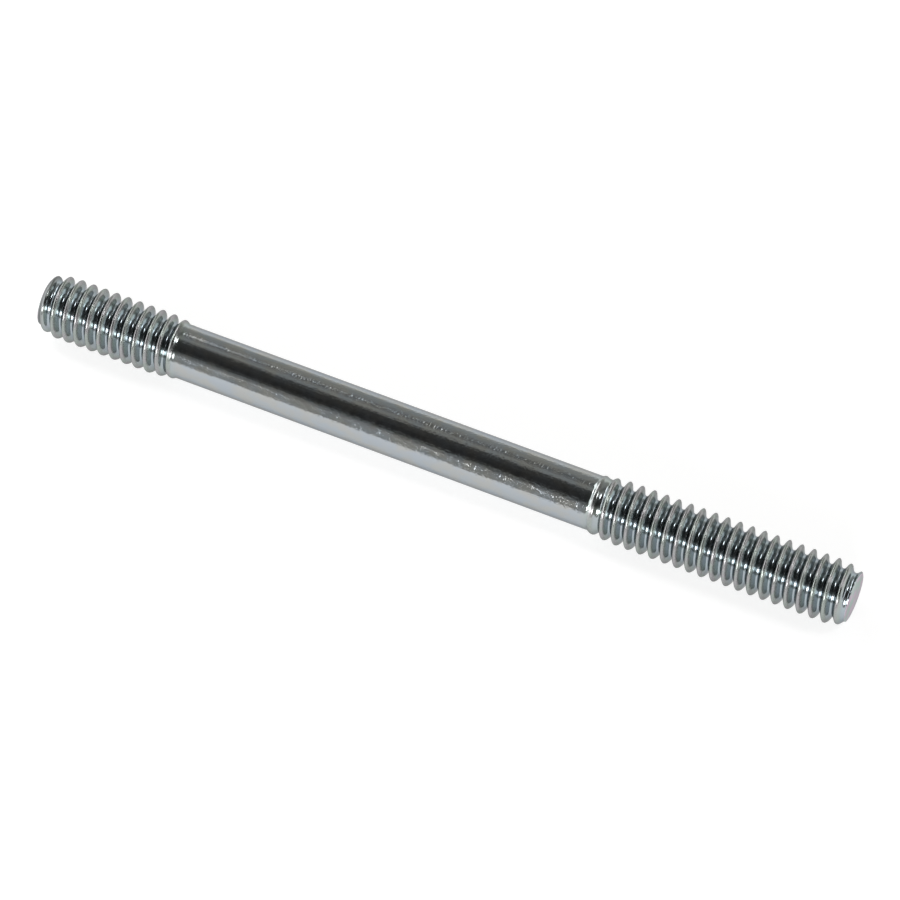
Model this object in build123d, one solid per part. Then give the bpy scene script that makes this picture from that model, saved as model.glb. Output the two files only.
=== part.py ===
"""Air cleaner stud: a double-ended 1/4-20 UNC stud with rolled threads, in millimetres.

The short thread screws into the carburettor, the plain shank passes up through the air
cleaner, and the long thread takes the wing nut that holds the lid down. The stud lies along X,
with its long thread towards +X. The origin is on its axis, at mid-length.
"""

import os
from math import atan, cos, degrees

from build123d import *

# Whole stud
INCH = 25.4
OVERALL_LENGTH = 3.375 * INCH
SHANK_DIAMETER = 5.45

# Unified coarse thread, right-handed
THREADS_PER_INCH = 20
PITCH = INCH / THREADS_PER_INCH
MAJOR_DIAMETER = 6.33
ROOT_DIAMETER = 4.76

# Length of each thread from its end face, and of the stretch where it fades into the shank
SHORT_THREAD = 14.8
SHORT_FADE = 2.0
LONG_THREAD = 26.2
LONG_FADE = 2.6

# How far inside each end face the crest passes the stud's +Y side
SHORT_START = 0.03
LONG_START = 0.12

# Crest diameter at each end face, and the length over which it climbs to the major diameter
POINT_DIAMETER = 5.36
POINT_LENGTH = 1.7

# A faded thread sinks this far below the shank's surface, so that the two cross cleanly.
SUNK = 0.01
# The shank reaches this far into each faded thread at full size, and then tapers away inside it.
SEAT = 0.2
TAPER_LENGTH = 1
TAPER_DEPTH = 0.35


def thread_radii(z, length, fade):
    """Radii of a thread's crest, flank and root lines at distance z from its end face.

    Rolling moves metal out from the root to the crest and leaves the middle of each flank at
    the blank's radius, which is the shank's.
    """
    blank = SHANK_DIAMETER / 2 - SUNK
    height = max(0, min(1, (length - z) / fade))
    crest = blank + height * (MAJOR_DIAMETER / 2 - blank)
    root = blank + height * (ROOT_DIAMETER / 2 - blank)

    point = POINT_DIAMETER / 2
    climb = (MAJOR_DIAMETER / 2 - point) / POINT_LENGTH
    crest = min(crest, point + climb * z)
    return crest, min(blank, crest), min(root, crest)


def turn_line(z, start_radius, end_radius):
    """One turn of a right-hand helix about Z, from above +X at height z, that may taper."""
    angle = atan((end_radius - start_radius) / PITCH)
    centre = (0, 0, z)
    return Edge.make_helix(PITCH / cos(angle), PITCH, start_radius, centre, angle=degrees(angle))


def turned(outline):
    """The solid that an outline of (z, radius) points sweeps about Z, closed along the axis."""
    half = [(outline[0][0], 0), *outline, (outline[-1][0], 0)]
    return revolve(make_face(Plane.ZX * Polyline(*half, close=True)), Axis.Z)


def thread(length, fade, start):
    """One thread along +Z, from its end face at Z = 0 to where it sinks into the shank.

    The rolled crest and root are round, so each is drawn as a line, with a third line along the
    middle of each flank. Strips ruled between neighbouring lines cover the thread, turn by turn.
    """
    turns_outside = 2
    turns = round(length / PITCH) + turns_outside
    first = length - turns * PITCH
    order = [0, 1, 2, 1, 0]

    def line_point(turn, i):
        z = first + (turn + i / 4) * PITCH
        return z, thread_radii(z, length, fade)[order[i]]

    faces = []
    for turn in range(turns + 1):
        lines = []
        for i in range(len(order)):
            z, radius = line_point(turn, i)
            lines.append(turn_line(z, radius, line_point(turn + 1, i)[1]))
        for line, next_line in zip(lines, lines[1:]):
            faces.append(Face.make_surface_from_curves(line, next_line))

    # A spiral ramp and a flat section close the rod at each end, past the limits below.
    for turn in (0, turns + 1):
        section = [line_point(turn, i) for i in range(len(order))]
        low, high = section[0][0], section[-1][0]
        axis = Edge.make_line((0, 0, low), (0, 0, high))
        faces.append(Face.make_surface_from_curves(axis, turn_line(low, section[0][1], section[-1][1])))
        corners = [(0, 0, low), *[(radius, 0, z) for z, radius in section], (0, 0, high)]
        faces.append(Face(Wire.make_polygon(corners, close=True)))

    limits = turned([(0, MAJOR_DIAMETER), (length + SEAT, MAJOR_DIAMETER)])
    turned_to_start = 360 * (length - start) / PITCH
    return (Solid(Shell(faces)) & limits).rotate(Axis.Z, turned_to_start)


def shank_end(length):
    """Points (z, radius) of a shank end that tapers away inside a thread of this length."""
    shank = SHANK_DIAMETER / 2
    seat = length - SEAT
    return [(seat - TAPER_LENGTH, shank - TAPER_DEPTH), (seat, shank)]


half_length = OVERALL_LENGTH / 2
short_end = Plane(origin=(-half_length, 0, 0), x_dir=(0, 1, 0), z_dir=(1, 0, 0))
long_end = Plane(origin=(half_length, 0, 0), x_dir=(0, 1, 0), z_dir=(-1, 0, 0))

# The shank's outline, along Z from the short end
shank = shank_end(SHORT_THREAD)
shank += [(OVERALL_LENGTH - z, radius) for z, radius in reversed(shank_end(LONG_THREAD))]

stud = short_end * turned(shank)
stud += short_end * thread(SHORT_THREAD, SHORT_FADE, SHORT_START)
stud += long_end * thread(LONG_THREAD, LONG_FADE, LONG_START)

os.makedirs("parts", exist_ok=True)
export_step(stud, "parts/air_cleaner_stud.step")
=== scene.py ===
"""The air cleaner stud as a finished, zinc-plated part on a white table, in metres.

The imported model's thread is drawn with few facets. Here one finer mesh stands for it, with the
same threads and ends, round crests and roots, and the run-outs that rolling leaves.
"""

from math import cos, pi, radians, sin, tan

import bmesh
import bpy
import numpy as np
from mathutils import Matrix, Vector


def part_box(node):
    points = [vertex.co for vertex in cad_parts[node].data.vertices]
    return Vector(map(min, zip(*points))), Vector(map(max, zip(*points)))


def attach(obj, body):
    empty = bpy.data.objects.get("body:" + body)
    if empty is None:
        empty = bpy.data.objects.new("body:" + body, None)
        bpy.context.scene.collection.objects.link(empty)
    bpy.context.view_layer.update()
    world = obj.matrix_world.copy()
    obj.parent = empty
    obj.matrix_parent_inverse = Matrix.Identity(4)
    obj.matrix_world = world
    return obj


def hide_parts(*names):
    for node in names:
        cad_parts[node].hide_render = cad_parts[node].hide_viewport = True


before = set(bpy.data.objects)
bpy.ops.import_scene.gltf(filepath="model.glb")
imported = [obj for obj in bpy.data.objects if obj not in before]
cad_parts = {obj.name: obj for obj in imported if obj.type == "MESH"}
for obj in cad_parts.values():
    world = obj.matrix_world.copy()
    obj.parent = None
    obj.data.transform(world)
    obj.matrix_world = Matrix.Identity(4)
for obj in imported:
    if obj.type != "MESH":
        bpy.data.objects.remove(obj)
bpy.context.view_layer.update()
low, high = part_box("air_cleaner_stud")

MM = 0.001

# Half of the whole stud's length, and its radius over the crests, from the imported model
HALF_LENGTH = (high.x - low.x) / 2
CREST = min(high.y, high.z)

# Pitch of a 1/4-20 thread, and radii of its roots and of the plain shank
PITCH = 1.27 * MM
ROOT = 2.37 * MM
SHANK = 2.725 * MM

# The thread's profile, as shares of the pitch: flat widths at crest and root, and their rounding
CREST_FLAT = 0.21
ROOT_FLAT = 0.27
CREST_ROUNDING = 0.11
ROOT_ROUNDING = 0.10

# Where the crest passes the stud's +Y side, inside each end face
SHORT_START = 0.03 * MM
LONG_START = 0.12 * MM

# Distances from the end faces to where crests are full, grooves are full, grooves end, crests end
SHORT_RUN_OUT = (12.7 * MM, 13.4 * MM, 14.5 * MM, 15.3 * MM)
LONG_RUN_OUT = (24.1 * MM, 24.3 * MM, 26.3 * MM, 27.05 * MM)

# A crest fades evenly towards this share of its height, and drops away over this last length.
LAST_HEIGHT = 0.2
LAST_LENGTH = 0.6 * MM
# Rounding, as a share of the height, where a crest becomes full
FULL_ROUNDING = 0.2

# End faces with a broken corner: radii of the face and of the corner, and the corner's length
END_FACE = 2.47 * MM
CORNER = 2.72 * MM
CORNER_LENGTH = 0.15 * MM
# Distance from the end face at which the climbing crests are full, and their rounding there
POINT_LENGTH = 1.7 * MM
POINT_ROUNDING = 0.1 * MM

# Middle and half-length of the plain shank, along X
SHANK_MIDDLE = (SHORT_RUN_OUT[-1] - LONG_RUN_OUT[-1]) / 2
SHANK_HALF = HALF_LENGTH - (SHORT_RUN_OUT[-1] + LONG_RUN_OUT[-1]) / 2

# The mesh is a helical grid: rows to half a turn of thread, rows along the shank, columns around.
HALF_TURN_ROWS = 11
ROWS_PER_TURN = 2 * HALF_TURN_ROWS
SHANK_ROWS = 70
COLUMNS = 92
# Turns of the grid beyond each end face, and beyond each run-out
SPARE_TURNS = 2
# Points this near, in metres, count as on a cut, and as on an end face.
CUT_TOLERANCE = 1e-7
FACE_TOLERANCE = 1e-6
# Faces that meet at more than this angle, in degrees, keep a sharp edge.
SHARP_ANGLE = 35

# Plating colours, by place on the stud
SHANK_BLUE = (0.385, 0.42, 0.455, 1)
SHANK_WARM = (0.41, 0.42, 0.415, 1)
ROOT_BLUE = (0.36, 0.42, 0.45, 1)
ROOT_VIOLET = (0.37, 0.41, 0.45, 1)
FLANK_GREEN = (0.375, 0.42, 0.40, 1)
FLANK_BLUE = (0.38, 0.415, 0.435, 1)
CREST_WARM = (0.365, 0.36, 0.37, 1)
CREST_GREEN = (0.335, 0.37, 0.35, 1)
END_VIOLET = (0.67, 0.56, 0.655, 1)
END_GREEN = (0.50, 0.60, 0.57, 1)
POINT_GREY = (0.23, 0.24, 0.245, 1)
# Tint of the metal's reflections at grazing angles
EDGE_TINT = (0.5, 0.5, 0.5, 1)

# Roughness of the shank and the roots, of the crests, and of the end faces and the short point
SMOOTH = 0.15
DULL = 0.27
CUT = 0.4

# White table: half its side, its colour, its roughness, and its glow where it is seen or mirrored
TABLE_HALF = 1.5
TABLE_WHITE = (0.4, 0.4, 0.4, 1)
TABLE_ROUGHNESS = 0.8
TABLE_GLOW = 0.72

# Sky level at angles about +X from the +Y horizon, over the top, to the -Y horizon, in degrees
SKY = (
    (2, 1.10),
    (14, 0.42),
    (34, 0.36),
    (54, 0.17),
    (73, 0.36),
    (90, 0.06),
    (125, 0.026),
    (154, 0.30),
    (176, 0.36),
)
# The sky's blue is this share of its red and green.
SKY_BLUE = 0.94
LAMP_DISTANCE = 1.0


def smooth_min(a, b, width):
    """The lower of two values, rounded where they cross."""
    near = np.maximum(width - np.abs(a - b), 0)
    return np.minimum(a, b) - near**2 / (4 * width)


def eased(t):
    """0 to 1 with a soft start and stop."""
    t = np.clip(t, 0, 1)
    return t * t * (3 - 2 * t)


def ridge(turns):
    """Height of the thread's profile, 0 at the root and 1 at the crest, where turns is whole."""
    from_crest = np.abs(turns - np.round(turns))
    flank = 0.5 - (CREST_FLAT + ROOT_FLAT) / 2
    height = (0.5 - ROOT_FLAT / 2 - from_crest) / flank
    height = smooth_min(height, 1.0, CREST_ROUNDING / flank)
    return -smooth_min(-height, 0.0, ROOT_ROUNDING / flank)


def threaded(x, turned, end_distance, crest_x, run_out):
    """Radius of one threaded end at positions x and turns about the axis.

    end_distance is each position's distance from the end face, and crest_x is where the crest
    passes the +Y side.
    """
    crest_full, groove_full, groove_gone, gone = run_out
    inside = gone - end_distance
    rise = LAST_HEIGHT + (1 - LAST_HEIGHT) * inside / (gone - crest_full)
    rise = smooth_min(rise, 1.0, FULL_ROUNDING) * eased(inside / LAST_LENGTH)
    crest = SHANK + rise * (CREST - SHANK)
    depth = eased((groove_gone - end_distance) / (groove_gone - groove_full))
    root = SHANK - depth * (SHANK - ROOT)
    climb = (CREST - CORNER) / (POINT_LENGTH - CORNER_LENGTH)
    point = CORNER + climb * (end_distance - CORNER_LENGTH)
    crest = smooth_min(crest, point, POINT_ROUNDING)
    return root + (crest - root) * ridge((x - crest_x) / PITCH - turned)


def stud_radius(x, turned):
    """Radius of the whole stud at positions x and turns about +X, counted from +Y towards +Z."""
    from_short = x + HALF_LENGTH
    from_long = HALF_LENGTH - x
    short = threaded(x, turned, from_short, -HALF_LENGTH + SHORT_START, SHORT_RUN_OUT)
    long = threaded(x, turned, from_long, HALF_LENGTH - LONG_START, LONG_RUN_OUT)
    radius = np.where(x < 0, short, long)
    from_end = np.minimum(from_short, from_long)
    corner = END_FACE + (CORNER - END_FACE) / CORNER_LENGTH * from_end
    return np.minimum(radius, corner)


def turn_rows():
    """Places of the grid's rows over one turn from a crest, closest on the flanks."""
    crest_edge = CREST_FLAT / 2 + CREST_ROUNDING
    root_edge = 0.5 - ROOT_FLAT / 2 - ROOT_ROUNDING
    places = (0, crest_edge, root_edge, 0.5)
    shares = (0, 0.5, 0.64, 1)
    half = np.interp(np.arange(HALF_TURN_ROWS) / HALF_TURN_ROWS, shares, places)
    return np.concatenate([half, [0.5], 1 - half[:0:-1]])


def thread_rows(run_out):
    """Distances from the first crest, at an end face, to the grid's rows over one thread."""
    turns = np.arange(-SPARE_TURNS, round(run_out[-1] / PITCH) + SPARE_TURNS)
    return PITCH * np.add.outer(turns, turn_rows()).ravel()


def row_starts():
    """Where each row of the helical grid starts along X: a thread's rows lie on its own helix."""
    short = -HALF_LENGTH + SHORT_START + thread_rows(SHORT_RUN_OUT)
    long = HALF_LENGTH - LONG_START - thread_rows(LONG_RUN_OUT)[::-1]
    t = np.arange(1, SHANK_ROWS) / SHANK_ROWS
    gap = long[0] - short[-1]
    # The shank's rows start and stop at the threads' spacing, with longer steps between.
    spread = SHANK_ROWS * PITCH / ROWS_PER_TURN / gap
    between = short[-1] + gap * (spread * t + (1 - spread) * eased(t))
    return np.concatenate([short, between, long])


def stud_grid():
    """Points and four-sided faces of the stud's skin, which run on past both end faces."""
    starts = row_starts()
    turned = np.arange(COLUMNS) / COLUMNS
    first, after_turn = starts[:-ROWS_PER_TURN, None], starts[ROWS_PER_TURN:, None]
    x = first + (after_turn - first) * turned
    radius = stud_radius(x, turned)
    angle = 2 * np.pi * turned
    points = np.stack([x, radius * np.cos(angle), radius * np.sin(angle)], axis=-1)

    rows = len(x)
    index = np.arange(rows * COLUMNS).reshape(rows, COLUMNS)
    # The grid closes on itself one turn further along.
    closing = np.concatenate([index[ROWS_PER_TURN:, 0], np.full(ROWS_PER_TURN, -1)])
    across = np.column_stack([index, closing])
    corners = [across[:-1, :-1], across[:-1, 1:], across[1:, 1:], across[1:, :-1]]
    quads = np.stack(corners, axis=-1).reshape(-1, 4)
    quads = quads[(quads >= 0).all(axis=1)]
    return points.reshape(-1, 3).tolist(), quads.tolist()


def cut_across(skin, x, end, clear):
    """Cut the skin square to X, and clear what lies beyond it towards that end if asked."""
    everything = [*skin.verts, *skin.edges, *skin.faces]
    bmesh.ops.bisect_plane(
        skin,
        geom=everything,
        dist=CUT_TOLERANCE,
        plane_co=(x, 0, 0),
        plane_no=(end, 0, 0),
        clear_outer=clear,
    )


def close_end(skin, end):
    """Cut the skin at the corner and at the end face of the -X (-1) or +X (1) end, and close it."""
    cut_across(skin, end * (HALF_LENGTH - CORNER_LENGTH), end, clear=False)
    cut_across(skin, end * HALF_LENGTH, end, clear=True)
    at_face = HALF_LENGTH - FACE_TOLERANCE
    rim = [
        edge
        for edge in skin.edges
        if edge.is_boundary and all(vert.co.x * end > at_face for vert in edge.verts)
    ]
    bmesh.ops.edgeloop_fill(skin, edges=rim)


def make_stud():
    """The stud's skin, cut off and closed at both end faces."""
    points, quads = stud_grid()
    mesh = bpy.data.meshes.new("stud_skin")
    mesh.from_pydata(points, [], quads)
    skin = bmesh.new()
    skin.from_mesh(mesh)
    for end in (-1, 1):
        close_end(skin, end)
    bmesh.ops.recalc_face_normals(skin, faces=skin.faces)
    for face in skin.faces:
        face.smooth = True
    for edge in skin.edges:
        edge.smooth = edge.calc_face_angle(0) < radians(SHARP_ANGLE)
    skin.to_mesh(mesh)
    skin.free()
    stud = bpy.data.objects.new("stud_skin", mesh)
    bpy.context.scene.collection.objects.link(stud)
    return stud


def add_node(tree, kind, inputs=(), output=0, **settings):
    """A new shader node's output. Its inputs, by name or in order, are set or linked."""
    node = tree.nodes.new("ShaderNode" + kind)
    for name, value in settings.items():
        setattr(node, name, value)
    given = inputs.items() if isinstance(inputs, dict) else enumerate(inputs)
    for socket, value in given:
        if isinstance(value, bpy.types.NodeSocket):
            tree.links.new(value, node.inputs[socket])
        else:
            node.inputs[socket].default_value = value
    return node.outputs[output]


def add_math(tree, operation, *values):
    """The result of a math node."""
    return add_node(tree, "Math", values, operation=operation)


def add_ramp(tree, value, start, stop, low_value=0.0, high_value=1.0):
    """A number that goes smoothly from one level to another as a value goes from start to stop."""
    inputs = {
        "Value": value,
        "From Min": start,
        "From Max": stop,
        "To Min": low_value,
        "To Max": high_value,
    }
    return add_node(tree, "MapRange", inputs, interpolation_type="SMOOTHSTEP")


def add_noise(tree, place, size, stretch=1.0, detail=2.0):
    """Noise about 0.5, with features of a size in metres that are longer along the stud."""
    scale = (1 / (size * stretch), 1 / size, 1 / size)
    scaled = add_node(tree, "VectorMath", (place, scale), operation="MULTIPLY")
    inputs = {"Vector": scaled, "Scale": 1.0, "Detail": detail, "Roughness": 0.5}
    return add_node(tree, "TexNoise", inputs)


def add_bump(tree, height, depth, below=None):
    """A normal tilted by a height map of a depth in metres, on top of the bump below it."""
    inputs = {"Strength": 1.0, "Distance": depth, "Height": height}
    if below is not None:
        inputs["Normal"] = below
    return add_node(tree, "Bump", inputs)


def mix_colours(tree, share, first, second):
    """A colour between two others."""
    return add_node(tree, "MixRGB", {"Fac": share, "Color1": first, "Color2": second})


class StudRegions:
    """Each shaded point's place, and how far (0 to 1) it lies in each region of the stud."""

    def __init__(self, tree):
        self.place = add_node(tree, "TexCoord", output="Object")
        self.x = add_node(tree, "SeparateXYZ", (self.place,), output="X")
        across = add_node(tree, "VectorMath", (self.place, (0, 1, 1)), operation="MULTIPLY")
        radius = add_node(tree, "VectorMath", (across,), output="Value", operation="LENGTH")
        off_middle = add_math(tree, "ABSOLUTE", add_math(tree, "SUBTRACT", self.x, SHANK_MIDDLE))
        off_centre = add_math(tree, "ABSOLUTE", self.x)
        self.thread = add_ramp(
            tree, off_middle, start=SHANK_HALF - 0.3 * MM, stop=SHANK_HALF + 0.6 * MM
        )
        self.crest = add_ramp(tree, radius, start=SHANK + 0.02 * MM, stop=SHANK + 0.2 * MM)
        self.above_root = add_ramp(tree, radius, start=ROOT, stop=SHANK)
        self.end = add_ramp(
            tree, off_centre, start=HALF_LENGTH - 0.04 * MM, stop=HALF_LENGTH - 0.01 * MM
        )
        # The short thread's point
        self.point = add_ramp(
            tree, self.x, start=-HALF_LENGTH + 0.9 * MM, stop=-HALF_LENGTH + 0.3 * MM
        )


def plate_colour(tree, on):
    """Soft patches of blue, green and violet over the zinc's grey."""
    patch = add_noise(tree, on.place, size=1.3 * MM, stretch=1.6)
    patch = add_ramp(tree, patch, start=0.36, stop=0.64)
    blot = add_noise(tree, on.place, size=0.5 * MM, stretch=1.5)
    blot = add_ramp(tree, blot, start=0.36, stop=0.66)
    shank = mix_colours(tree, patch, SHANK_BLUE, SHANK_WARM)
    root = mix_colours(tree, blot, ROOT_BLUE, ROOT_VIOLET)
    flank = mix_colours(tree, patch, FLANK_GREEN, FLANK_BLUE)
    crest = mix_colours(tree, patch, CREST_WARM, CREST_GREEN)
    end = mix_colours(tree, patch, END_VIOLET, END_GREEN)
    thread = mix_colours(tree, on.above_root, root, flank)
    thread = mix_colours(tree, on.crest, thread, crest)
    colour = mix_colours(tree, on.thread, shank, thread)
    colour = mix_colours(tree, on.point, colour, POINT_GREY)
    return mix_colours(tree, on.end, colour, end)


def plate_roughness(tree, on):
    """Smooth shank and roots, duller crests, and a cut look on the end faces and the point."""
    dull = add_math(tree, "MULTIPLY", on.crest, on.thread)
    rough = add_ramp(tree, dull, start=0, stop=1, low_value=SMOOTH, high_value=DULL)
    stain = add_noise(tree, on.place, size=0.6 * MM)
    stain = add_ramp(tree, stain, start=0.3, stop=0.7, low_value=-0.02, high_value=0.03)
    rough = add_math(tree, "ADD", rough, stain)
    cut = add_math(tree, "MAXIMUM", on.point, on.end)
    cut = add_ramp(tree, cut, start=0, stop=1, low_value=0, high_value=CUT)
    return add_math(tree, "MAXIMUM", rough, cut)


def plate_bump(tree, on):
    """Drawn lines and a fine hammered grain on the shank, and slow waves everywhere.

    The grain gets deeper towards the long thread, and is faint on the threads.
    """
    lines = add_noise(tree, on.place, size=0.13 * MM, stretch=40.0, detail=1.0)
    waves = add_noise(tree, on.place, size=1.6 * MM, stretch=1.5, detail=1.0)
    grain = add_noise(tree, on.place, size=0.32 * MM, stretch=0.6, detail=1.0)
    line_depth = add_ramp(
        tree, on.thread, start=0, stop=1, low_value=0.006 * MM, high_value=0
    )
    shank_grain = add_ramp(
        tree, on.x, start=-26 * MM, stop=2 * MM, low_value=0.010 * MM, high_value=0.024 * MM
    )
    grain_depth = add_ramp(
        tree, on.thread, start=0, stop=1, low_value=shank_grain, high_value=0.002 * MM
    )
    normal = add_bump(tree, lines, depth=line_depth)
    normal = add_bump(tree, waves, depth=0.015 * MM, below=normal)
    return add_bump(tree, grain, depth=grain_depth, below=normal)


def zinc_plate():
    """Bright zinc plate with a clear passivate."""
    material = bpy.data.materials.new("zinc_plate")
    material.use_nodes = True
    tree = material.node_tree
    shader = tree.nodes["Principled BSDF"]
    shader.inputs["Metallic"].default_value = 1
    shader.inputs["Specular Tint"].default_value = EDGE_TINT
    on = StudRegions(tree)
    tree.links.new(plate_colour(tree, on), shader.inputs["Base Color"])
    tree.links.new(plate_roughness(tree, on), shader.inputs["Roughness"])
    tree.links.new(plate_bump(tree, on), shader.inputs["Normal"])
    return material


def white_table():
    """A pale surface that takes shadows, and glows where the camera or a mirror sees it."""
    material = bpy.data.materials.new("white_table")
    material.use_nodes = True
    tree = material.node_tree
    shader = tree.nodes["Principled BSDF"]
    shader.inputs["Base Color"].default_value = TABLE_WHITE
    shader.inputs["Roughness"].default_value = TABLE_ROUGHNESS
    shader.inputs["Emission Color"].default_value = (1, 1, 1, 1)
    rays = tree.nodes.new("ShaderNodeLightPath").outputs
    seen = add_math(tree, "MAXIMUM", rays["Is Camera Ray"], rays["Is Glossy Ray"])
    seen = add_math(tree, "MAXIMUM", seen, rays["Is Transmission Ray"])
    glow = add_math(tree, "MULTIPLY", seen, TABLE_GLOW)
    tree.links.new(glow, shader.inputs["Emission Strength"])
    return material


def make_floor():
    """The table, at the underside of the stud."""
    corners = ((-1, -1), (1, -1), (1, 1), (-1, 1))
    points = [(x * TABLE_HALF, y * TABLE_HALF, low.z) for x, y in corners]
    mesh = bpy.data.meshes.new("table")
    mesh.from_pydata(points, [], [(0, 1, 2, 3)])
    mesh.materials.append(white_table())
    floor = bpy.data.objects.new("table", mesh)
    bpy.context.scene.collection.objects.link(floor)


def add_facing(name, data, azimuth, elevation, distance, aim=(0, 0, 0)):
    """A camera or lamp that looks at a point from an azimuth and an elevation, in degrees.

    The azimuth counts from -Y towards +X, and the elevation counts up from the table.
    """
    azimuth, elevation = radians(azimuth), radians(elevation)
    out = cos(elevation)
    away = Vector((out * sin(azimuth), -out * cos(azimuth), sin(elevation)))
    thing = bpy.data.objects.new(name, data)
    thing.location = Vector(aim) + distance * away
    thing.rotation_euler = (-away).to_track_quat("-Z", "Y").to_euler()
    bpy.context.scene.collection.objects.link(thing)
    return thing


def make_camera():
    """A long lens over the stud's front, a little towards its long end."""
    data = bpy.data.cameras.new("camera")
    data.lens = 199.9
    data.sensor_width = 36
    aim = Vector((0.825, -0.05, 0)) * MM
    camera = add_facing("camera", data, azimuth=24.4, elevation=54.4, distance=0.4843, aim=aim)
    bpy.context.scene.camera = camera


def softbox(name, azimuth, elevation, width, height, radiance):
    """A soft lamp facing the stud, of an apparent width and height in degrees."""
    data = bpy.data.lights.new(name, "AREA")
    data.shape = "RECTANGLE"
    data.size = 2 * LAMP_DISTANCE * tan(radians(width / 2))
    data.size_y = 2 * LAMP_DISTANCE * tan(radians(height / 2))
    data.energy = radiance * pi * data.size * data.size_y
    lamp = add_facing(name, data, azimuth, elevation, LAMP_DISTANCE)
    lamp.visible_camera = False


def sky_colour(level):
    """A faintly warm grey."""
    return (level, level, SKY_BLUE * level, 1)


def make_world():
    """A studio sky in long bands beside the stud, its level set by the angle about the axis."""
    world = bpy.data.worlds.new("studio")
    bpy.context.scene.world = world
    world.use_nodes = True
    tree = world.node_tree
    place = add_node(tree, "TexCoord", output="Generated")
    y = add_node(tree, "SeparateXYZ", (place,), output="Y")
    z = add_node(tree, "SeparateXYZ", (place,), output="Z")
    half_turns = add_math(tree, "DIVIDE", add_math(tree, "ARCTAN2", z, y), pi)
    ramp = tree.nodes.new("ShaderNodeValToRGB")
    tree.links.new(half_turns, ramp.inputs[0])
    bands = ramp.color_ramp
    bands.interpolation = "EASE"
    # A new ramp has two stops: they take the first and the last band.
    for stop, (degrees, level) in zip(bands.elements, (SKY[0], SKY[-1])):
        stop.position = degrees / 180
        stop.color = sky_colour(level)
    for degrees, level in SKY[1:-1]:
        bands.elements.new(degrees / 180).color = sky_colour(level)
    tree.links.new(ramp.outputs["Color"], tree.nodes["Background"].inputs["Color"])


def make_light():
    """The sky, and softboxes around the stud."""
    make_world()
    softbox("front_left", azimuth=-34, elevation=17, width=13, height=13, radiance=11)
    softbox("front_left_low", azimuth=-52, elevation=9, width=14, height=12, radiance=8)
    softbox("left_front", azimuth=-66, elevation=24, width=26, height=38, radiance=1.9)
    softbox("left", azimuth=-88, elevation=38, width=14, height=26, radiance=1.6)
    softbox("left_low", azimuth=-94, elevation=10, width=36, height=20, radiance=2.2)
    softbox("left_high", azimuth=-105, elevation=43, width=12, height=14, radiance=8.5)
    softbox("back_left", azimuth=-132, elevation=34, width=28, height=30, radiance=2.3)
    softbox("front_right", azimuth=15, elevation=24, width=32, height=14, radiance=9)
    softbox("right", azimuth=98, elevation=60, width=12, height=16, radiance=9)
    softbox("right_low", azimuth=106, elevation=14, width=50, height=22, radiance=1.1)


stud = make_stud()
stud.data.materials.append(zinc_plate())
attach(stud, "root")
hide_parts("air_cleaner_stud")

make_floor()
make_camera()
make_light()

bpy.context.scene.view_settings.view_transform = "Standard"
